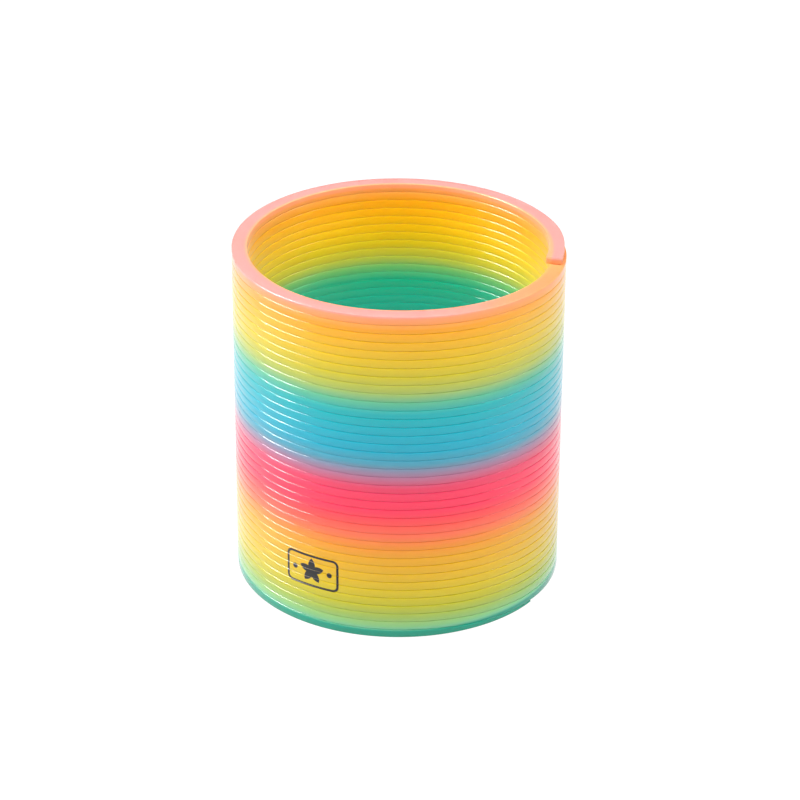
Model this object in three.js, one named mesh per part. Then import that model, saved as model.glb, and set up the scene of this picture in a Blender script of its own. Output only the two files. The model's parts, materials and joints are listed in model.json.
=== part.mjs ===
// Spring coil toy: one long left-handed strip of plastic wound into a closed cylindrical coil.
// Units are millimetres, +Z is up and the coil stands on z = 0 with its axis on the Z axis.
// The strip is divided into arcs, each a body that turns on the next about the strip's outer edge.
import * as THREE from "three";

// ---- driving sizes -------------------------------------------------------------------------
const outerRadius = 37.5; // outside of the coil
const stripWidth = 3.5; // radial width of the strip
const stripThickness = 1.8; // axial thickness of the strip
const cornerCut = 0.45; // bevel on the four long edges of the strip
const pitch = 2.05; // rise per turn of the closed coil
const segmentCount = 58; // arcs in the whole strip
const segmentDeg = 240; // angle of one arc
const firstArcDeg = 340; // angle of the lowest arc
const stepDeg = 15; // facet angle along the strip
const endGap = 0.25; // clear gap between the end faces of neighbouring arcs
const turnGap = 0.25; // clear gap between closed turns
const lowerEndDeg = -35; // bearing of the lower free end, measured from +X
const tailDeg = 60; // angle of the lower end that thins out under the first climb
const flatDeg = 235; // angle of each turn that lies level, before it climbs to the next
const lateDeg = 40; // how much later the lowest turn climbs
const settleTurns = 8; // turns over which the climb comes to its usual place
const curlIn = 0.75; // how far the upper free end curls in
const curlDeg = 35; // angle over which it does

// ---- colours along the height, from the table up -------------------------------------------
const rainbow = [
  [0.0, "#5cc4b0"], [0.04, "#8fc890"], [0.08, "#b9cf5e"], [0.14, "#d9cc4a"],
  [0.22, "#e6b944"], [0.28, "#ea9c4c"], [0.33, "#f0805c"], [0.38, "#f45c66"],
  [0.45, "#f04c6e"], [0.5, "#cb6386"], [0.53, "#8a95a8"], [0.57, "#4aaac2"],
  [0.7, "#30b0b8"], [0.74, "#66bd98"], [0.78, "#a9c268"], [0.83, "#d2c244"],
  [0.92, "#e8b93a"], [0.97, "#f4a64a"], [1.0, "#fbae90"],
];

function rainbowAt(share) {
  for (let i = 1; i < rainbow.length; i++) {
    const [start, from] = rainbow[i - 1];
    const [end, to] = rainbow[i];
    if (share <= end) {
      return new THREE.Color(from).lerp(new THREE.Color(to), (share - start) / (end - start));
    }
  }
  return new THREE.Color(rainbow[rainbow.length - 1][1]);
}

// ---- the strip's path ----------------------------------------------------------------------
// The lowest arc is longer, so that the upper free end bears where it should.
function arcStart(index) {
  return index === 0 ? 0 : firstArcDeg + (index - 1) * segmentDeg;
}

function easeIn(share) {
  const t = Math.min(1, Math.max(0, share));
  return t * t * (3 - 2 * t);
}

// Height of the strip's underside: every turn lies level and then climbs on to the next.
function undersideAt(alongDeg) {
  const past = Math.max(0, alongDeg - tailDeg);
  const whole = Math.floor(past / 360 + 1e-9);
  const level = flatDeg + lateDeg * Math.max(0, 1 - whole / settleTurns);
  return pitch * (whole + easeIn((past - 360 * whole - level) / (360 - level)));
}

// The lower end thins out, to fill the wedge between the table and the first climb.
function thicknessAt(alongDeg) {
  return alongDeg < tailDeg ? undersideAt(alongDeg + 360) - turnGap : stripThickness;
}

function curlAt(alongDeg) {
  return curlIn * easeIn((alongDeg - arcStart(segmentCount) + curlDeg) / curlDeg);
}

function bevelledSection(thickness) {
  const inner = outerRadius - stripWidth;
  const cut = Math.min(cornerCut, thickness / 4);
  return [
    [inner, cut], [inner + cut, 0],
    [outerRadius - cut, 0], [outerRadius, cut],
    [outerRadius, thickness - cut], [outerRadius - cut, thickness],
    [inner + cut, thickness], [inner, thickness - cut],
  ];
}

// Sweep the section along one arc of the strip and close it with flat ends.
function arcGeometry(startDeg, endDeg) {
  const sides = bevelledSection(stripThickness).length;
  const steps = Math.round((endDeg - startDeg) / stepDeg);
  const trim = THREE.MathUtils.radToDeg(endGap / 2 / (outerRadius - stripWidth / 2));
  const points = [];
  for (let i = 0; i <= steps; i++) {
    const inset = i === 0 ? trim : i === steps ? -trim : 0;
    const along = startDeg + (i * (endDeg - startDeg)) / steps + inset;
    const bearing = THREE.MathUtils.degToRad(lowerEndDeg - along);
    const base = undersideAt(along);
    for (const [radius, height] of bevelledSection(thicknessAt(along))) {
      const reach = radius - curlAt(along);
      points.push(reach * Math.cos(bearing), reach * Math.sin(bearing), base + height);
    }
  }
  const faces = [];
  for (let i = 0; i < steps; i++) {
    for (let k = 0; k < sides; k++) {
      const a = i * sides + k;
      const b = i * sides + ((k + 1) % sides);
      faces.push(a, b, b + sides, a, b + sides, a + sides);
    }
  }
  for (let k = 1; k < sides - 1; k++) {
    const last = steps * sides;
    faces.push(0, k + 1, k, last, last + k, last + k + 1);
  }
  const geometry = new THREE.BufferGeometry();
  geometry.setAttribute("position", new THREE.Float32BufferAttribute(points, 3));
  geometry.setIndex(faces);
  return geometry;
}

// ---- the toy -------------------------------------------------------------------------------
const group = new THREE.Group();
group.name = "spring_coil_toy";
for (let i = 0; i < segmentCount; i++) {
  const material = new THREE.MeshStandardMaterial({
    color: rainbowAt((i + 0.5) / segmentCount),
    roughness: 0.25,
    metalness: 0,
  });
  const segment = new THREE.Mesh(arcGeometry(arcStart(i), arcStart(i + 1)), material);
  segment.name = `coil_segment_${String(i + 1).padStart(2, "0")}`;
  group.add(segment);
}

export default group;
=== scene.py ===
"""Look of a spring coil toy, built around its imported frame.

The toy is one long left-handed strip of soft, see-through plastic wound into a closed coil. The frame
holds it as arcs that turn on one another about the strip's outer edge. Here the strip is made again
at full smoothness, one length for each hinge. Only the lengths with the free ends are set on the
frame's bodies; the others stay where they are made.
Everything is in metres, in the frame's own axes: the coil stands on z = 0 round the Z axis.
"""

import json
import logging
import math
from dataclasses import dataclass, field
from enum import Enum

import bmesh
import bpy
from mathutils import Matrix, Vector

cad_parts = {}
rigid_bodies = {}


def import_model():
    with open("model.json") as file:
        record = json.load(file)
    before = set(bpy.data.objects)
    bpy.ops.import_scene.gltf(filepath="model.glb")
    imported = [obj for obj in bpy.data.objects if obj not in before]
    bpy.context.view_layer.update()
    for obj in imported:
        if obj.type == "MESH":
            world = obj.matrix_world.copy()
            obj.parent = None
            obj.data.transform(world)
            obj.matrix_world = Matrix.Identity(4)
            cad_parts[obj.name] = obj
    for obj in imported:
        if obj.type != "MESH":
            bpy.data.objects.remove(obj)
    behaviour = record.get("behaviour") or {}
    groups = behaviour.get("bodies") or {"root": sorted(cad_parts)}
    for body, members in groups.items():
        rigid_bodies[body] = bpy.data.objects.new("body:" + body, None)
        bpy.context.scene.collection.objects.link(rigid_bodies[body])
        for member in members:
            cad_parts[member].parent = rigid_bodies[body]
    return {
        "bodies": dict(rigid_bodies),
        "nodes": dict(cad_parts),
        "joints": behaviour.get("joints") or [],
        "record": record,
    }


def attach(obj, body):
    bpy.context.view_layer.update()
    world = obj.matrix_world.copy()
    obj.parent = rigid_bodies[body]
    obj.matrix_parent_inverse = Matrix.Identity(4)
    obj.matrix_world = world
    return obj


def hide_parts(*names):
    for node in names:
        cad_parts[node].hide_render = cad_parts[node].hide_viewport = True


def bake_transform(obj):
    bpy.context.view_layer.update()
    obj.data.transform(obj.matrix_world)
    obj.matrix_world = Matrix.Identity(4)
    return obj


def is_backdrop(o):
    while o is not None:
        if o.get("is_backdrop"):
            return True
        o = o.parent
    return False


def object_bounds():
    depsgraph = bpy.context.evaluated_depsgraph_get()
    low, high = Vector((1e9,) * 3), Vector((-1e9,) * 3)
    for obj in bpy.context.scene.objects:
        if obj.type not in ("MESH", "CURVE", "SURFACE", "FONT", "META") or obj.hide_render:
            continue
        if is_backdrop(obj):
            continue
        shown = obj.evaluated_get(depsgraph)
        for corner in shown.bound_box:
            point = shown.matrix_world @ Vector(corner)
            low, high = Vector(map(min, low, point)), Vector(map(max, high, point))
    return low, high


LOG = logging.getLogger("coil_toy")
MM = 0.001
FULL_TURN = 2 * math.pi


def linear(hex_colour: str) -> tuple[float, float, float, float]:
    """Turn an sRGB hex colour into the linear colour that sockets take.

    Args:
        hex_colour: A colour such as "#f4c23a".

    Returns:
        Linear red, green, blue and an alpha of one.
    """
    shares = [int(hex_colour[i : i + 2], 16) / 255 for i in (1, 3, 5)]
    curve = [s / 12.92 if s <= 0.04045 else ((s + 0.055) / 1.055) ** 2.4 for s in shares]
    return (curve[0], curve[1], curve[2], 1.0)


def add_node(
    tree: bpy.types.NodeTree,
    kind: str,
    settings: dict[str, object] | None = None,
    inputs: dict[str | int, object] | None = None,
) -> bpy.types.Node:
    """Add a node, with its settings, its fixed values and the links that come into it.

    Args:
        tree: The tree that gets the node.
        kind: The node's type name.
        settings: Property names and their values.
        inputs: Socket names or numbers, each with a value or with the output socket to link.

    Returns:
        The new node.
    """
    node = tree.nodes.new(kind)
    for name, value in (settings or {}).items():
        setattr(node, name, value)
    for key, value in (inputs or {}).items():
        if isinstance(value, bpy.types.NodeSocket):
            tree.links.new(value, node.inputs[key])
        else:
            node.inputs[key].default_value = value
    return node


def from_axis(tree: bpy.types.NodeTree, place: bpy.types.NodeSocket) -> bpy.types.NodeSocket:
    """Measure how far a place lies from the coil's axis.

    Args:
        tree: The tree that gets the nodes.
        place: The place, as a vector.

    Returns:
        The socket that carries the distance.
    """
    plan = add_node(tree, "ShaderNodeVectorMath", {"operation": "MULTIPLY"}, {0: place, 1: (1, 1, 0)})
    return add_node(
        tree, "ShaderNodeVectorMath", {"operation": "LENGTH"}, {0: plan.outputs[0]}
    ).outputs["Value"]


@dataclass(frozen=True)
class StripPath:
    """The line that the strip follows when the coil is closed, with the strip's own section.

    Attributes:
        outer_radius: Outside of the coil.
        arcs: How many arcs the frame has.
        arc_turns: Share of a turn that one arc of the frame covers.
        first_arc_turns: Share of a turn that the lowest arc covers.
        width: Radial width of the strip.
        thickness: Axial thickness of the strip.
        corner_radius: Rounding of the strip's four long edges.
        pitch: Rise per turn of the closed coil.
        lower_end: Bearing of the lower free end from +X, in radians.
        tail_turns: Share of a turn over which the lower end thins out, under the first climb.
        flat_share: Share of each turn that lies level, before it climbs on to the next.
        late_share: How much later, as a share of a turn, the lowest turn climbs.
        settle_turns: Turns over which the climb comes to its usual place.
        curl_in: How far the upper free end curls in.
        curl_turns: Share of a turn over which it does.
    """

    outer_radius: float
    arcs: int
    arc_turns: float = 240 / 360
    first_arc_turns: float = 340 / 360
    width: float = 3.5 * MM
    thickness: float = 2.04 * MM
    corner_radius: float = 0.17 * MM
    pitch: float = 2.05 * MM
    lower_end: float = math.radians(-35)
    tail_turns: float = 60 / 360
    flat_share: float = 235 / 360
    late_share: float = 40 / 360
    settle_turns: float = 8.0
    curl_in: float = 0.75 * MM
    curl_turns: float = 35 / 360

    @property
    def mean_radius(self) -> float:
        """Radius of the middle of the strip."""
        return self.outer_radius - self.width / 2

    @property
    def turn_gap(self) -> float:
        """Gap between closed turns."""
        return self.pitch - self.thickness

    @property
    def turns(self) -> float:
        """Turns in the whole strip."""
        return self.arc_start(self.arcs)

    @property
    def height(self) -> float:
        """Height of the closed coil, to the level part of its rim."""
        return math.ceil(self.turns - self.tail_turns) * self.pitch

    def arc_start(self, number: int) -> float:
        """Turn at which an arc of the frame starts, counted from the table."""
        return self.first_arc_turns + (number - 1) * self.arc_turns if number else 0.0

    def arc_middle(self, number: int) -> float:
        """Turn at the middle of an arc of the frame."""
        return (self.arc_start(number) + self.arc_start(number + 1)) / 2

    def outwards(self, turn: float) -> Vector:
        """Direction away from the coil's axis after some turns."""
        bearing = self.lower_end - turn * FULL_TURN
        return Vector((math.cos(bearing), math.sin(bearing), 0))

    def travel(self, turn: float) -> Vector:
        """Direction in which the strip runs on upwards after some turns, seen from above."""
        out = self.outwards(turn)
        return Vector((out.y, -out.x, 0))


@dataclass(frozen=True)
class StripTree:
    """Geometry Nodes that sweep the strip's section along a stretch of its path.

    Attributes:
        path: Path and section of the strip.
        corner_cuts: Facets in each rounded corner of the section.
        crease_angle: Edges sharper than this are shaded sharp, in radians.
        tail_slack: Share of a turn by which the full thickness starts early, so that the ring at the
            very end of the tail has it.
    """

    path: StripPath
    corner_cuts: int = 4
    crease_angle: float = math.radians(50)
    tail_slack: float = 0.0005

    def build(self) -> bpy.types.NodeTree:
        """Make the tree.

        Returns:
            The node group, with its sizes and stretch as named inputs.
        """
        tree = bpy.data.node_groups.new("Coil strip", "GeometryNodeTree")
        tree.interface.new_socket("Geometry", in_out="OUTPUT", socket_type="NodeSocketGeometry")
        for name, value in self.sizes().items():
            kind = "NodeSocketInt" if isinstance(value, int) else "NodeSocketFloat"
            socket = tree.interface.new_socket(name, in_out="INPUT", socket_type=kind)
            socket.default_value = value
        tree.interface.new_socket("Plastic", in_out="INPUT", socket_type="NodeSocketMaterial")
        given = add_node(tree, "NodeGroupInput").outputs
        swept = add_node(
            tree,
            "GeometryNodeCurveToMesh",
            inputs={
                "Curve": self.line(tree, given),
                "Profile Curve": self.section(tree, given),
                "Fill Caps": True,
            },
        )
        finished = self.dress(tree, given, swept.outputs["Mesh"])
        add_node(tree, "NodeGroupOutput", inputs={"Geometry": finished})
        return tree

    def sizes(self) -> dict[str, float | int]:
        """Names and starting values of the tree's number inputs."""
        return {
            "From turn": 0.0,
            "To turn": 1.0,
            "Steps": 96,
            "Mean radius": self.path.mean_radius,
            "Strip width": self.path.width,
            "Strip thickness": self.path.thickness,
            "Corner radius": self.path.corner_radius,
            "Pitch": self.path.pitch,
            "Lower-end bearing": self.path.lower_end,
            "Turn gap": self.path.turn_gap,
            "Tail turns": self.path.tail_turns,
            "Flat share": self.path.flat_share,
            "Late share": self.path.late_share,
            "Settle turns": self.path.settle_turns,
            "Curl in": self.path.curl_in,
            "Curl start": self.path.turns - self.path.curl_turns,
            "Curl end": self.path.turns,
            "Rim height": self.path.height,
        }

    def line(
        self, tree: bpy.types.NodeTree, given: bpy.types.bpy_prop_collection
    ) -> bpy.types.NodeSocket:
        """Lay the middle line of the stretch: every turn lies level and then climbs to the next.

        Args:
            tree: The tree being built.
            given: Outputs of the group's input node.

        Returns:
            The socket that carries the curve.
        """
        along = add_node(tree, "GeometryNodeSplineParameter").outputs["Factor"]
        turn = add_node(
            tree, "ShaderNodeMapRange",
            inputs={"Value": along, "To Min": given["From turn"], "To Max": given["To turn"]},
        ).outputs[0]
        past = add_node(
            tree, "ShaderNodeMath", {"operation": "SUBTRACT"}, {0: turn, 1: given["Tail turns"]}
        ).outputs[0]
        whole = add_node(tree, "ShaderNodeMath", {"operation": "FLOOR"}, {0: past}).outputs[0]
        part = add_node(tree, "ShaderNodeMath", {"operation": "FRACT"}, {0: past}).outputs[0]
        late = add_node(
            tree, "ShaderNodeMapRange",
            inputs={
                "Value": whole, "From Max": given["Settle turns"],
                "To Min": given["Late share"], "To Max": 0.0,
            },
        ).outputs[0]
        level = add_node(
            tree, "ShaderNodeMath", {"operation": "ADD"}, {0: given["Flat share"], 1: late}
        ).outputs[0]
        climb = add_node(
            tree, "ShaderNodeMapRange", {"interpolation_type": "SMOOTHSTEP"},
            {"Value": part, "From Min": level},
        ).outputs[0]
        risen = add_node(tree, "ShaderNodeMath", {"operation": "ADD"}, {0: whole, 1: climb}).outputs[0]
        climbed = add_node(
            tree, "ShaderNodeMath", {"operation": "MAXIMUM"}, {0: risen, 1: 0.0}
        ).outputs[0]
        half = add_node(
            tree, "ShaderNodeMath", {"operation": "MULTIPLY"}, {0: given["Strip thickness"], 1: 0.5}
        ).outputs[0]
        height = add_node(
            tree, "ShaderNodeMath", {"operation": "MULTIPLY_ADD"},
            {0: climbed, 1: given["Pitch"], 2: half},
        ).outputs[0]
        bearing = add_node(
            tree, "ShaderNodeMath", {"operation": "MULTIPLY_ADD"},
            {0: turn, 1: -FULL_TURN, 2: given["Lower-end bearing"]},
        ).outputs[0]
        east = add_node(tree, "ShaderNodeMath", {"operation": "COSINE"}, {0: bearing}).outputs[0]
        north = add_node(tree, "ShaderNodeMath", {"operation": "SINE"}, {0: bearing}).outputs[0]
        ring = add_node(tree, "ShaderNodeCombineXYZ", inputs={"X": east, "Y": north}).outputs[0]
        curl = add_node(
            tree, "ShaderNodeMapRange", {"interpolation_type": "SMOOTHSTEP"},
            {
                "Value": turn, "From Min": given["Curl start"], "From Max": given["Curl end"],
                "To Max": given["Curl in"],
            },
        ).outputs[0]
        reach = add_node(
            tree, "ShaderNodeMath", {"operation": "SUBTRACT"}, {0: given["Mean radius"], 1: curl}
        ).outputs[0]
        plan = add_node(
            tree, "ShaderNodeVectorMath", {"operation": "SCALE"}, {0: ring, "Scale": reach}
        ).outputs[0]
        lift = add_node(tree, "ShaderNodeCombineXYZ", inputs={"Z": height}).outputs[0]
        place = add_node(
            tree, "ShaderNodeVectorMath", {"operation": "ADD"}, {0: plan, 1: lift}
        ).outputs[0]
        rings = add_node(
            tree, "ShaderNodeMath", {"operation": "ADD"}, {0: given["Steps"], 1: 1.0}
        ).outputs[0]
        straight = add_node(tree, "GeometryNodeCurvePrimitiveLine").outputs[0]
        stepped = add_node(
            tree, "GeometryNodeResampleCurve", inputs={"Curve": straight, "Count": rings}
        ).outputs[0]
        run = add_node(
            tree, "GeometryNodeStoreNamedAttribute", {"data_type": "FLOAT", "domain": "POINT"},
            {"Geometry": stepped, "Name": "strip_turn", "Value": turn},
        ).outputs[0]
        thinned = add_node(
            tree, "GeometryNodeStoreNamedAttribute", {"data_type": "FLOAT", "domain": "POINT"},
            {"Geometry": run, "Name": "tail_share", "Value": self.tail(tree, given, past, climb)},
        ).outputs[0]
        wound = add_node(
            tree, "GeometryNodeSetPosition", inputs={"Geometry": thinned, "Position": place}
        ).outputs[0]
        return add_node(
            tree, "GeometryNodeSetCurveNormal", {"mode": "Z_UP"}, {"Curve": wound}
        ).outputs[0]

    def tail(
        self,
        tree: bpy.types.NodeTree,
        given: bpy.types.bpy_prop_collection,
        past: bpy.types.NodeSocket,
        climb: bpy.types.NodeSocket,
    ) -> bpy.types.NodeSocket:
        """Thin the lower end, so that it fills the wedge between the table and the first climb.

        Args:
            tree: The tree being built.
            given: Outputs of the group's input node.
            past: Turns past the end of the tail, less than zero within it.
            climb: How far the turn above has climbed there, as a share of the pitch.

        Returns:
            The socket that carries the share of the full thickness.
        """
        wedge = add_node(
            tree, "ShaderNodeMath", {"operation": "MULTIPLY"}, {0: climb, 1: given["Pitch"]}
        ).outputs[0]
        room = add_node(
            tree, "ShaderNodeMath", {"operation": "SUBTRACT"}, {0: wedge, 1: given["Turn gap"]}
        ).outputs[0]
        share = add_node(
            tree, "ShaderNodeMath", {"operation": "DIVIDE"}, {0: room, 1: given["Strip thickness"]}
        ).outputs[0]
        beyond = add_node(
            tree, "ShaderNodeMath", {"operation": "GREATER_THAN"}, {0: past, 1: -self.tail_slack}
        ).outputs[0]
        return add_node(tree, "ShaderNodeMix", inputs={0: beyond, 2: share, 3: 1.0}).outputs[0]

    def section(
        self, tree: bpy.types.NodeTree, given: bpy.types.bpy_prop_collection
    ) -> bpy.types.NodeSocket:
        """Draw the strip's section: a flat bar with rounded edges.

        Args:
            tree: The tree being built.
            given: Outputs of the group's input node.

        Returns:
            The socket that carries the closed outline.
        """
        bar = add_node(
            tree, "GeometryNodeCurvePrimitiveQuadrilateral",
            inputs={"Width": given["Strip width"], "Height": given["Strip thickness"]},
        ).outputs[0]
        return add_node(
            tree, "GeometryNodeFilletCurve", {"mode": "POLY"},
            {"Curve": bar, "Count": self.corner_cuts, "Radius": given["Corner radius"]},
        ).outputs[0]

    def dress(
        self,
        tree: bpy.types.NodeTree,
        given: bpy.types.bpy_prop_collection,
        bare: bpy.types.NodeSocket,
    ) -> bpy.types.NodeSocket:
        """Thin the tail, keep the top level, remember the closed place, and give the strip its plastic.

        Args:
            tree: The tree being built.
            given: Outputs of the group's input node.
            bare: The socket that carries the swept mesh.

        Returns:
            The socket that carries the finished mesh.
        """
        place = add_node(tree, "GeometryNodeInputPosition").outputs[0]
        share = add_node(
            tree, "GeometryNodeInputNamedAttribute", inputs={"Name": "tail_share"}
        ).outputs["Attribute"]
        squeeze = add_node(tree, "ShaderNodeCombineXYZ", inputs={"X": 1.0, "Y": 1.0, "Z": share})
        thinned = add_node(
            tree, "ShaderNodeVectorMath", {"operation": "MULTIPLY"}, {0: place, 1: squeeze.outputs[0]}
        ).outputs[0]
        ceiling = add_node(
            tree, "ShaderNodeCombineXYZ", inputs={"X": 1.0, "Y": 1.0, "Z": given["Rim height"]}
        ).outputs[0]
        levelled = add_node(
            tree, "ShaderNodeVectorMath", {"operation": "MINIMUM"}, {0: thinned, 1: ceiling}
        ).outputs[0]
        shaped = add_node(
            tree, "GeometryNodeSetPosition", inputs={"Geometry": bare, "Position": levelled}
        ).outputs[0]
        kept = add_node(
            tree, "GeometryNodeStoreNamedAttribute",
            {"data_type": "FLOAT_VECTOR", "domain": "POINT"},
            {"Geometry": shaped, "Name": "closed_at", "Value": place},
        ).outputs[0]
        smooth = add_node(tree, "GeometryNodeSetShadeSmooth", inputs={"Geometry": kept}).outputs[0]
        crease = add_node(tree, "GeometryNodeInputMeshEdgeAngle").outputs["Unsigned Angle"]
        sharp = add_node(
            tree, "FunctionNodeCompare", {"operation": "GREATER_THAN"},
            {0: crease, 1: self.crease_angle},
        ).outputs[0]
        creased = add_node(
            tree, "GeometryNodeSetShadeSmooth", {"domain": "EDGE"},
            {"Geometry": smooth, "Selection": sharp, "Shade Smooth": False},
        ).outputs[0]
        real = add_node(tree, "GeometryNodeRealizeInstances", inputs={"Geometry": creased}).outputs[0]
        return add_node(
            tree, "GeometryNodeSetMaterial", inputs={"Geometry": real, "Material": given["Plastic"]}
        ).outputs[0]


@dataclass(frozen=True)
class InkMark:
    """A plain badge printed across a few closed turns: a rounded frame round a star and two dots.

    Attributes:
        bearing: Bearing of the badge's middle from +X, in radians.
        height: Height of the badge's middle.
        half_width: Half the badge's width along the strip.
        half_height: Half the badge's height.
        corner: Corner radius of the frame.
        line: Width of the frame's line.
        star_radius: From the star's middle to its points.
        star_waist: From the star's middle to the corners between its points.
        star_points: How many points the star has.
        dot_radius: Radius of the two dots.
        dot_offset: From the badge's middle to the middle of a dot.
        edge_blur: Half the width over which the ink's edge fades.
        ink_starts: How far in from the coil's outside the ink begins.
        ink_full: How far in from the coil's outside the ink is at full strength.
        roughness: Dry ink, duller than the plastic.
        colour: Pad-printing ink.
    """

    bearing: float = math.radians(-120.8)
    height: float = 14.1 * MM
    half_width: float = 6.5 * MM
    half_height: float = 3.8 * MM
    corner: float = 1.2 * MM
    line: float = 0.58 * MM
    star_radius: float = 3.2 * MM
    star_waist: float = 1.5 * MM
    dot_radius: float = 0.65 * MM
    dot_offset: float = 4.5 * MM
    star_points: int = 5
    edge_blur: float = 0.05 * MM
    ink_starts: float = 0.14 * MM
    ink_full: float = 0.08 * MM
    roughness: float = 0.3
    colour: str = "#000000"

    def mask(
        self, tree: bpy.types.NodeTree, closed_at: bpy.types.NodeSocket, outer_radius: float
    ) -> bpy.types.NodeSocket:
        """Draw the badge as a mask over the strip's outer face.

        Args:
            tree: The material's tree.
            closed_at: The point's place when the coil is closed.
            outer_radius: Outside of the coil.

        Returns:
            A socket that is one on ink and zero elsewhere.
        """
        apart = add_node(tree, "ShaderNodeSeparateXYZ", inputs={0: closed_at}).outputs
        bearing = add_node(
            tree, "ShaderNodeMath", {"operation": "ARCTAN2"}, {0: apart["Y"], 1: apart["X"]}
        ).outputs[0]
        across = add_node(
            tree, "ShaderNodeMath", {"operation": "MULTIPLY_ADD"},
            {0: bearing, 1: outer_radius, 2: -self.bearing * outer_radius},
        ).outputs[0]
        above = add_node(
            tree, "ShaderNodeMath", {"operation": "SUBTRACT"}, {0: apart["Z"], 1: self.height}
        ).outputs[0]
        shapes = [
            self.frame(tree, across, above),
            self.star(tree, across, above),
            self.dots(tree, across, above),
        ]
        nearest = shapes[0]
        for shape in shapes[1:]:
            nearest = add_node(
                tree, "ShaderNodeMath", {"operation": "MINIMUM"}, {0: nearest, 1: shape}
            ).outputs[0]
        drawn = add_node(
            tree, "ShaderNodeMapRange", {"interpolation_type": "SMOOTHSTEP"},
            {"Value": nearest, "From Min": self.edge_blur, "From Max": -self.edge_blur},
        ).outputs[0]
        on_face = add_node(
            tree, "ShaderNodeMapRange",
            inputs={
                "Value": from_axis(tree, closed_at),
                "From Min": outer_radius - self.ink_starts,
                "From Max": outer_radius - self.ink_full,
            },
        ).outputs[0]
        return add_node(
            tree, "ShaderNodeMath", {"operation": "MULTIPLY"}, {0: drawn, 1: on_face}
        ).outputs[0]

    def frame(
        self, tree: bpy.types.NodeTree, across: bpy.types.NodeSocket, above: bpy.types.NodeSocket
    ) -> bpy.types.NodeSocket:
        """Distance to the rounded frame's line, less than zero on the line."""
        place = add_node(tree, "ShaderNodeCombineXYZ", inputs={"X": across, "Y": above}).outputs[0]
        folded = add_node(
            tree, "ShaderNodeVectorMath", {"operation": "ABSOLUTE"}, {0: place}
        ).outputs[0]
        inner = (self.half_width - self.corner, self.half_height - self.corner, 0)
        past = add_node(
            tree, "ShaderNodeVectorMath", {"operation": "SUBTRACT"}, {0: folded, 1: inner}
        ).outputs[0]
        outside = add_node(
            tree, "ShaderNodeVectorMath", {"operation": "MAXIMUM"}, {0: past, 1: (0, 0, 0)}
        ).outputs[0]
        far = add_node(
            tree, "ShaderNodeVectorMath", {"operation": "LENGTH"}, {0: outside}
        ).outputs["Value"]
        sides = add_node(tree, "ShaderNodeSeparateXYZ", inputs={0: past}).outputs
        most = add_node(
            tree, "ShaderNodeMath", {"operation": "MAXIMUM"}, {0: sides["X"], 1: sides["Y"]}
        ).outputs[0]
        within = add_node(tree, "ShaderNodeMath", {"operation": "MINIMUM"}, {0: most, 1: 0.0}).outputs[0]
        edge = add_node(tree, "ShaderNodeMath", {"operation": "ADD"}, {0: far, 1: within}).outputs[0]
        from_edge = add_node(
            tree, "ShaderNodeMath", {"operation": "SUBTRACT"}, {0: edge, 1: self.corner}
        ).outputs[0]
        off = add_node(tree, "ShaderNodeMath", {"operation": "ABSOLUTE"}, {0: from_edge}).outputs[0]
        return add_node(
            tree, "ShaderNodeMath", {"operation": "SUBTRACT"}, {0: off, 1: self.line / 2}
        ).outputs[0]

    def star(
        self, tree: bpy.types.NodeTree, across: bpy.types.NodeSocket, above: bpy.types.NodeSocket
    ) -> bpy.types.NodeSocket:
        """Distance to the star's outline, less than zero within it."""
        angle = add_node(
            tree, "ShaderNodeMath", {"operation": "ARCTAN2"}, {0: across, 1: above}
        ).outputs[0]
        shares = add_node(
            tree, "ShaderNodeMath", {"operation": "MULTIPLY"}, {0: angle, 1: self.star_points / FULL_TURN}
        ).outputs[0]
        swing = add_node(
            tree, "ShaderNodeMath", {"operation": "PINGPONG"}, {0: shares, 1: 0.5}
        ).outputs[0]
        rim = add_node(
            tree, "ShaderNodeMapRange",
            inputs={
                "Value": swing, "From Max": 0.5, "To Min": self.star_radius, "To Max": self.star_waist
            },
        ).outputs[0]
        place = add_node(tree, "ShaderNodeCombineXYZ", inputs={"X": across, "Y": above}).outputs[0]
        far = add_node(
            tree, "ShaderNodeVectorMath", {"operation": "LENGTH"}, {0: place}
        ).outputs["Value"]
        return add_node(tree, "ShaderNodeMath", {"operation": "SUBTRACT"}, {0: far, 1: rim}).outputs[0]

    def dots(
        self, tree: bpy.types.NodeTree, across: bpy.types.NodeSocket, above: bpy.types.NodeSocket
    ) -> bpy.types.NodeSocket:
        """Distance to the two dots beside the star, less than zero within them."""
        sideways = add_node(tree, "ShaderNodeMath", {"operation": "ABSOLUTE"}, {0: across}).outputs[0]
        shifted = add_node(
            tree, "ShaderNodeMath", {"operation": "SUBTRACT"}, {0: sideways, 1: self.dot_offset}
        ).outputs[0]
        place = add_node(tree, "ShaderNodeCombineXYZ", inputs={"X": shifted, "Y": above}).outputs[0]
        far = add_node(
            tree, "ShaderNodeVectorMath", {"operation": "LENGTH"}, {0: place}
        ).outputs["Value"]
        return add_node(
            tree, "ShaderNodeMath", {"operation": "SUBTRACT"}, {0: far, 1: self.dot_radius}
        ).outputs[0]


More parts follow.
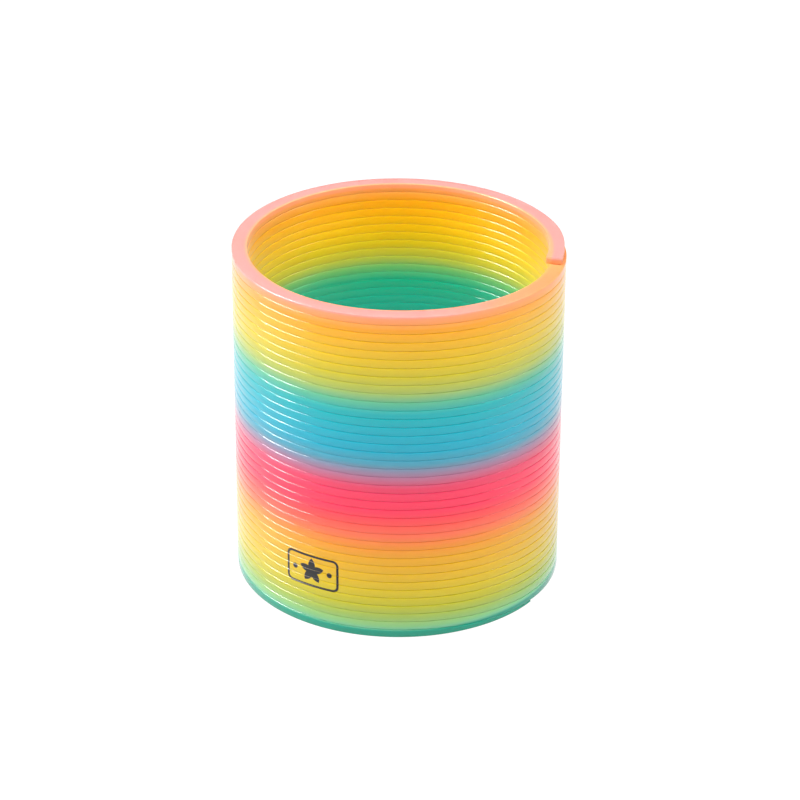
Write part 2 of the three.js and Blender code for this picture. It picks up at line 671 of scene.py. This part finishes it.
@dataclass(frozen=True)
class DyedPolypropylene:
    """Injection-moulded polypropylene, dyed in soft bands and glossy from a polished mould.

    The eye sees clear bright dye a little below a slick skin, faint flow lines along the strip, and
    slightly milky depth where light passes through a turn. The inner face is dyed lighter, warmer and a
    little lower than the outer one. That is a stand-in for light that comes through the real wall, which
    this shader lets through too little of.

    Attributes:
        bands: Share of the closed height and the dye there, from the table up.
        ior: Refractive index of polypropylene.
        roughness: Polished mould skin.
        skin_range: How much smoother and rougher than that the flow lines make the skin.
        milkiness: Share of the light that wanders under the skin.
        depth: How far it wanders.
        wander: Share of that distance for red, green and blue.
        haze: Pale veil at a grazing angle, a stand-in for the milky plastic's edge.
        haze_spread: Roughness of that veil.
        tone_range: Darkest and brightest share of the dye, along the flow lines.
        brightest: Most that any colour may return.
        cloud_size: Size of the patches in which a poured batch is uneven.
        drift: How far up or down those patches shift the bands.
        flow_spacing: Spacing of the flow lines.
        relief: Height of the flow lines' ridges.
        relief_share: Strength of those ridges.
        painted_glow_tint: Painted light on the inner face, as a factor on its red, green and blue.
        painted_glow_drop: How much lower the bands lie on the inner face, as part of that painted light.
        painted_glow_from: How far out from the inner face that painted light ends.
        painted_glow_full: How far out from the inner face that painted light is at full strength.
    """

    bands: tuple[tuple[float, str], ...] = (
        # The two lowest stops make the bottom 1.6 mm of the closed height a deep teal, with a sharp step
        # to mint above.
        (0.000, "#009478"),
        (0.020, "#089e82"),
        (0.026, "#78c89c"),
        (0.036, "#8cc884"),
        (0.065, "#a4c058"),
        (0.100, "#c4c024"),
        (0.140, "#d8c014"),
        (0.190, "#e4b810"),
        (0.250, "#ecac14"),
        (0.290, "#f4942c"),
        (0.325, "#fc7450"),
        (0.365, "#ff5050"),
        (0.400, "#ff385c"),
        (0.440, "#fc3860"),
        (0.475, "#ec4068"),
        (0.512, "#b27898"),
        (0.550, "#50a0b8"),
        (0.590, "#0cacc6"),
        (0.650, "#08b0c2"),
        (0.705, "#08b4b8"),
        (0.740, "#60bc94"),
        (0.775, "#b0c058"),
        (0.815, "#d0c228"),
        (0.860, "#e4c014"),
        (0.925, "#f2b410"),
        (0.958, "#faa81c"),
        (0.977, "#ffa458"),
        (0.992, "#ffa070"),
        (0.998, "#ff9e98"),
    )
    ior: float = 1.49
    roughness: float = 0.12
    skin_range: tuple[float, float] = (-0.03, 0.04)
    milkiness: float = 0.7
    depth: float = 0.7 * MM
    wander: tuple[float, float, float] = (1.0, 0.8, 0.7)
    haze: float = 0.25
    haze_spread: float = 0.4
    tone_range: tuple[float, float] = (0.79, 0.85)
    brightest: float = 0.97
    cloud_size: float = 14 * MM
    drift: float = 0.15 * MM
    flow_spacing: float = 0.4 * MM
    relief: float = 0.02 * MM
    relief_share: float = 0.25
    painted_glow_tint: tuple[float, float, float] = (1.28, 1.25, 0.7)
    painted_glow_drop: float = 0.6 * MM
    painted_glow_from: float = 0.9 * MM
    painted_glow_full: float = 0.1 * MM

    def build(self, path: StripPath, mark: InkMark) -> bpy.types.Material:
        """Make the material.

        Args:
            path: Path and section of the strip, for the height of the bands.
            mark: The badge printed on the strip.

        Returns:
            The material, driven by the strip's own attributes.
        """
        material = bpy.data.materials.new("dyed_polypropylene")
        material.use_nodes = True
        tree = material.node_tree
        tree.nodes.clear()
        closed_at = add_node(
            tree, "ShaderNodeAttribute", {"attribute_name": "closed_at"}
        ).outputs["Vector"]
        # dye carries the bands and the painted light on the inner face.
        dye = self.dye(tree, closed_at, path)
        ink = mark.mask(tree, closed_at, path.outer_radius)
        printed = add_node(
            tree, "ShaderNodeMix", {"data_type": "RGBA"}, {0: ink, 6: dye, 7: linear(mark.colour)}
        ).outputs[2]
        flow = self.flow_lines(tree, closed_at)
        smoother, rougher = self.skin_range
        skin = add_node(
            tree, "ShaderNodeMapRange",
            inputs={
                "Value": flow, "To Min": self.roughness + smoother, "To Max": self.roughness + rougher
            },
        ).outputs[0]
        dull = add_node(tree, "ShaderNodeMix", inputs={0: ink, 2: skin, 3: mark.roughness}).outputs[0]
        ridges = add_node(
            tree, "ShaderNodeBump",
            inputs={"Strength": self.relief_share, "Distance": self.relief, "Height": flow},
        ).outputs[0]
        shader = add_node(
            tree, "ShaderNodeBsdfPrincipled",
            inputs={
                "Base Color": printed,
                "Roughness": dull,
                "IOR": self.ior,
                "Subsurface Weight": self.milkiness,
                "Subsurface Radius": self.wander,
                "Subsurface Scale": self.depth,
                "Sheen Weight": self.haze,
                "Sheen Roughness": self.haze_spread,
                "Normal": ridges,
            },
        ).outputs[0]
        add_node(tree, "ShaderNodeOutputMaterial", inputs={"Surface": shader})
        return material

    def dye(
        self, tree: bpy.types.NodeTree, closed_at: bpy.types.NodeSocket, path: StripPath
    ) -> bpy.types.NodeSocket:
        """Band the dye by closed height, a little uneven as a poured batch is, and paint light on the
        inner face: lighter, warmer and with the bands a little lower.

        Args:
            tree: The material's tree.
            closed_at: The point's place when the coil is closed.
            path: Path and section of the strip.

        Returns:
            The socket that carries the dye's colour.
        """
        # Painted light: the inner face is made lighter, warmer and banded lower, a stand-in for light
        # through the wall.
        inner_face = path.outer_radius - path.width
        inside = add_node(
            tree, "ShaderNodeMapRange", {"interpolation_type": "SMOOTHSTEP"},
            {
                "Value": from_axis(tree, closed_at),
                "From Min": inner_face + self.painted_glow_from,
                "From Max": inner_face + self.painted_glow_full,
            },
        ).outputs[0]
        level = add_node(tree, "ShaderNodeSeparateXYZ", inputs={0: closed_at}).outputs["Z"]
        height = add_node(
            tree, "ShaderNodeMath", {"operation": "MULTIPLY_ADD"},
            {0: inside, 1: self.painted_glow_drop, 2: level},
        ).outputs[0]
        cloud = add_node(
            tree, "ShaderNodeTexNoise",
            inputs={"Vector": closed_at, "Scale": 1 / self.cloud_size, "Detail": 2.0},
        ).outputs["Fac"]
        shift = add_node(
            tree, "ShaderNodeMapRange",
            inputs={"Value": cloud, "To Min": -self.drift, "To Max": self.drift},
        ).outputs[0]
        uneven = add_node(tree, "ShaderNodeMath", {"operation": "ADD"}, {0: height, 1: shift}).outputs[0]
        share = add_node(
            tree, "ShaderNodeMapRange", inputs={"Value": uneven, "From Max": path.height}
        ).outputs[0]
        ramp = add_node(tree, "ShaderNodeValToRGB", inputs={"Fac": share})
        stops = ramp.color_ramp
        while len(stops.elements) < len(self.bands):
            stops.elements.new(1.0)
        for stop, (place, colour) in zip(stops.elements, self.bands):
            stop.position = place
            stop.color = linear(colour)
        # Painted light: lighten and warm the dye on the inner face.
        with_painted_glow = add_node(
            tree, "ShaderNodeMix", {"data_type": "RGBA", "blend_type": "MULTIPLY"},
            {0: inside, 6: ramp.outputs["Color"], 7: (*self.painted_glow_tint, 1.0)},
        ).outputs[2]
        streak = self.flow_lines(tree, closed_at)
        darkest, lightest = self.tone_range
        tone = add_node(
            tree, "ShaderNodeMapRange", inputs={"Value": streak, "To Min": darkest, "To Max": lightest}
        ).outputs[0]
        toned = add_node(
            tree, "ShaderNodeVectorMath", {"operation": "SCALE"}, {0: with_painted_glow, "Scale": tone}
        ).outputs[0]
        return add_node(
            tree, "ShaderNodeVectorMath", {"operation": "MINIMUM"}, {0: toned, 1: (self.brightest,) * 3}
        ).outputs[0]

    def flow_lines(
        self, tree: bpy.types.NodeTree, closed_at: bpy.types.NodeSocket
    ) -> bpy.types.NodeSocket:
        """Fine lines along the strip, as the plastic flowed, with a new pattern on each turn."""
        turn = add_node(tree, "ShaderNodeAttribute", {"attribute_name": "strip_turn"}).outputs["Fac"]
        apart = add_node(tree, "ShaderNodeSeparateXYZ", inputs={0: closed_at}).outputs
        # 50 mm of pattern a turn, far under the strip's real length, so that the lines run long.
        along = add_node(
            tree, "ShaderNodeMath", {"operation": "MULTIPLY"}, {0: turn, 1: 50 * MM}
        ).outputs[0]
        grain = add_node(
            tree, "ShaderNodeCombineXYZ",
            inputs={"X": from_axis(tree, closed_at), "Y": along, "Z": apart["Z"]},
        ).outputs[0]
        return add_node(
            tree, "ShaderNodeTexNoise",
            inputs={"Vector": grain, "Scale": 1 / self.flow_spacing, "Detail": 3.0},
        ).outputs["Fac"]


class Stretch(Enum):
    """Which stretch of the strip a length covers."""

    LOWER_END = "lower_end"
    ACROSS_HINGE = "across_hinge"
    UPPER_END = "upper_end"


@dataclass
class CoilStrip:
    """The whole strip, made as lengths that run from the middle of one arc to the middle of the next.

    Attributes:
        path: Path and section of the strip.
        steps_per_turn: Facets round one turn.
        twist_reach: Reach along the strip on each side of a hinge; a direction is worked out from it that
            nothing uses.
        end_rounding: Softening of the cut edges at the free ends.
        end_trim: How much shorter than the frame's last arc the upper free end is cut.
        lap: How far each length runs on into the next, so that no gap shows between them.
    """

    path: StripPath
    frame: dict
    steps_per_turn: int = 216
    twist_reach: float = 20 * MM
    end_rounding: float = 0.2 * MM
    end_trim: float = 2.2 * MM
    lap: float = 0.05 * MM
    made: list[bpy.types.Object] = field(default_factory=list)

    @property
    def lap_turns(self) -> float:
        """The lap as a share of a turn."""
        return self.lap / (FULL_TURN * self.path.mean_radius)

    @property
    def last_cut(self) -> float:
        """Turn at which the upper free end is cut."""
        return self.path.turns - self.end_trim / (FULL_TURN * self.path.mean_radius)

    def build(self, plastic: bpy.types.Material) -> list[bpy.types.Object]:
        """Make every length, from the table up, set the two end lengths on the frame, and hide the
        frame's arcs.

        Args:
            plastic: The strip's material.

        Returns:
            The finished lengths.
        """
        tree = StripTree(self.path).build()
        bodies = sorted(self.frame["bodies"])
        for number in range(len(bodies) + 1):
            kind = self.kind_of(number, len(bodies))
            low = self.path.arc_middle(number - 1) - self.lap_turns if number else 0.0
            high = self.last_cut
            if number < len(bodies):
                high = self.path.arc_middle(number) + self.lap_turns
            piece = self.length(tree, plastic, f"strip_{number:02d}", low, high)
            if kind is Stretch.ACROSS_HINGE:
                self.bend(piece, self.path.arc_start(number))
            else:
                self.round_free_end(piece, 0.0 if kind is Stretch.LOWER_END else self.last_cut)
                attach(piece, bodies[0] if kind is Stretch.LOWER_END else bodies[-1])
            node = bodies[min(number, len(bodies) - 1)]
            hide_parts(node)
            self.made.append(piece)
            LOG.info("%s: %s, turns %.2f to %.2f", piece.name, kind.value, low, high)
        return self.made

    @staticmethod
    def kind_of(number: int, arcs: int) -> Stretch:
        """Say which stretch a length covers, by its number from the table up."""
        if number == 0:
            return Stretch.LOWER_END
        return Stretch.UPPER_END if number == arcs else Stretch.ACROSS_HINGE

    def length(
        self,
        tree: bpy.types.NodeTree,
        plastic: bpy.types.Material,
        name: str,
        low: float,
        high: float,
    ) -> bpy.types.Object:
        """Sweep one length of strip and make it a plain mesh.

        Args:
            tree: The strip's Geometry Nodes.
            plastic: The strip's material.
            name: Name of the piece.
            low: Turn at which the length starts.
            high: Turn at which it ends.

        Returns:
            The length, in place at the origin.
        """
        piece = bpy.data.objects.new(name, bpy.data.meshes.new(name))
        bpy.context.scene.collection.objects.link(piece)
        sweep = piece.modifiers.new("sweep", "NODES")
        sweep.node_group = tree
        wanted = {
            "From turn": low,
            "To turn": high,
            "Steps": round((high - low) * self.steps_per_turn),
            "Plastic": plastic,
        }
        for socket in tree.interface.items_tree:
            if socket.name in wanted:
                sweep[socket.identifier] = wanted[socket.name]
        depsgraph = bpy.context.evaluated_depsgraph_get()
        mesh = bpy.data.meshes.new_from_object(piece.evaluated_get(depsgraph))
        piece.modifiers.clear()
        piece.data = mesh
        mesh.name = name
        return piece

    def bend(self, piece: bpy.types.Object, turn: float) -> None:
        """Bake a length that crosses a hinge where it lies; it is not twisted and follows neither body.

        Args:
            piece: The length.
            turn: Turn at which the hinge lies.
        """
        reach = self.path.travel(turn) * self.twist_reach
        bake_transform(piece)

    def round_free_end(self, piece: bpy.types.Object, turn: float) -> None:
        """Soften the cut edge at one of the strip's free ends.

        Args:
            piece: The length that holds the end.
            turn: Turn at which the strip is cut.
        """
        spot = self.path.outwards(turn) * self.path.mean_radius
        shape = bmesh.new()
        shape.from_mesh(piece.data)
        caps = [f for f in shape.faces if len(f.verts) > 4]
        cap = min(caps, key=lambda f: (f.calc_center_median().xy - spot.xy).length)
        bmesh.ops.bevel(
            shape, geom=list(cap.edges), offset=self.end_rounding, segments=3, affect="EDGES"
        )
        shape.to_mesh(piece.data)
        shape.free()


@dataclass(frozen=True)
class Softbox:
    """A rectangular lamp that faces the toy.

    Attributes:
        name: Name of the lamp.
        towards: Direction from the toy to the lamp.
        distance: How far away it hangs.
        size: Width and height of its face.
        watts: Its power.
        lights: Whether it lights surfaces.
        mirrored: Whether it shows in reflections.
    """

    name: str
    towards: tuple[float, float, float]
    distance: float
    size: tuple[float, float]
    watts: float
    lights: bool = True
    mirrored: bool = True

    def hang(self, aim: Vector) -> None:
        """Hang the lamp.

        Args:
            aim: Point that it faces.
        """
        light = bpy.data.lights.new(self.name, "AREA")
        light.shape = "RECTANGLE"
        light.size, light.size_y = self.size
        light.energy = self.watts
        holder = bpy.data.objects.new(self.name, light)
        line = Vector(self.towards).normalized()
        holder.location = aim + line * self.distance
        holder.rotation_euler = line.to_track_quat("Z", "Y").to_euler()
        bpy.context.scene.collection.objects.link(holder)
        holder.visible_diffuse = self.lights
        holder.visible_glossy = self.mirrored


@dataclass
class Studio:
    """A backlit white table, soft lamps and the camera.

    Two of the lamps do half of what a real one does: the strip on the left only shows in reflections,
    and the one above only lights surfaces.

    Attributes:
        aim: Point that the camera looks at.
        distance: From the camera to that point.
        elevation: Camera's angle above the table, in radians.
        roll: Camera's turn about its own line of sight, in radians.
        lens_mm: Focal length on a 36 mm wide frame.
        table_reach: From the table's middle to its edges.
        table_paint: What the table's face returns of the light on it.
        table_glow: How bright the table is by itself, where one is white.
        sky_glow: How bright the surroundings are, where one is white.
        softboxes: The lamps.
    """

    aim: Vector = field(default_factory=lambda: Vector((0.4 * MM, 0, 40.7 * MM)))
    distance: float = 695 * MM
    elevation: float = math.radians(27.4)
    roll: float = math.radians(0.33)
    lens_mm: float = 136.2
    table_reach: float = 6.0
    table_paint: str = "#3c3c3c"
    table_glow: float = 0.97
    sky_glow: float = 0.1
    softboxes: tuple[Softbox, ...] = (
        Softbox("left_softbox", (-0.80, 0.07, 0.59), 1.0, (0.6, 0.6), 11.0),
        Softbox("left_strip", (-0.80, 0.07, 0.59), 0.95, (0.34, 0.6), 30.0, lights=False),
        Softbox("right_softbox", (0.80, 0.0, 0.59), 1.2, (0.6, 0.6), 6.5),
        Softbox("top_softbox", (0.0, -0.50, 0.87), 1.1, (1.2, 1.2), 20.0, mirrored=False),
    )

    def build(self) -> None:
        """Set up the table, the surroundings, the lamps and the camera."""
        self.table()
        self.surroundings()
        for softbox in self.softboxes:
            softbox.hang(self.aim)
        self.camera()

    def table(self) -> None:
        """Lay a wide, plain table top under the toy, which glows white and so takes no shadow."""
        mesh = bpy.data.meshes.new("table_top")
        shape = bmesh.new()
        bmesh.ops.create_grid(shape, x_segments=1, y_segments=1, size=self.table_reach)
        shape.to_mesh(mesh)
        shape.free()
        top = bpy.data.objects.new("table_top", mesh)
        bpy.context.scene.collection.objects.link(top)
        paint = bpy.data.materials.new("backlit_white_board")
        paint.use_nodes = True
        board = paint.node_tree.nodes["Principled BSDF"].inputs
        board["Base Color"].default_value = linear(self.table_paint)
        board["Roughness"].default_value = 0.85
        board["Emission Color"].default_value = linear("#ffffff")
        board["Emission Strength"].default_value = self.table_glow
        mesh.materials.append(paint)
        top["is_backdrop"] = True

    def surroundings(self) -> None:
        """Put a dim, even white all round, and show colours without a film curve."""
        world = bpy.data.worlds.new("white_surround")
        world.use_nodes = True
        sky = world.node_tree.nodes["Background"].inputs
        sky["Color"].default_value = linear("#ffffff")
        sky["Strength"].default_value = self.sky_glow
        bpy.context.scene.world = world
        bpy.context.scene.view_settings.view_transform = "Standard"

    def camera(self) -> None:
        """Place the camera in front of the toy and look down on it."""
        view = bpy.data.cameras.new("camera")
        view.lens = self.lens_mm
        view.sensor_width = 36
        eye = bpy.data.objects.new("camera", view)
        back = Vector((0, -math.cos(self.elevation), math.sin(self.elevation)))
        turned = back.to_track_quat("Z", "Y").to_matrix() @ Matrix.Rotation(self.roll, 3, "Z")
        eye.matrix_world = Matrix.Translation(self.aim + back * self.distance) @ turned.to_4x4()
        bpy.context.scene.collection.objects.link(eye)
        bpy.context.scene.camera = eye


def main() -> None:
    """Load the frame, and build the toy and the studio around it."""
    logging.basicConfig(level=logging.INFO, format="%(name)s %(message)s")
    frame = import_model()
    cad_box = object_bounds()
    arcs = len(frame["bodies"])
    outer_radius = (cad_box[1].x - cad_box[0].x) / 2
    path = StripPath(outer_radius=outer_radius, arcs=arcs)
    plastic = DyedPolypropylene().build(path, InkMark())
    lengths = CoilStrip(path, frame).build(plastic)
    LOG.info("%d lengths of strip, %.1f mm high", len(lengths), path.height / MM)
    Studio().build()


if __name__ == "__main__":
    main()
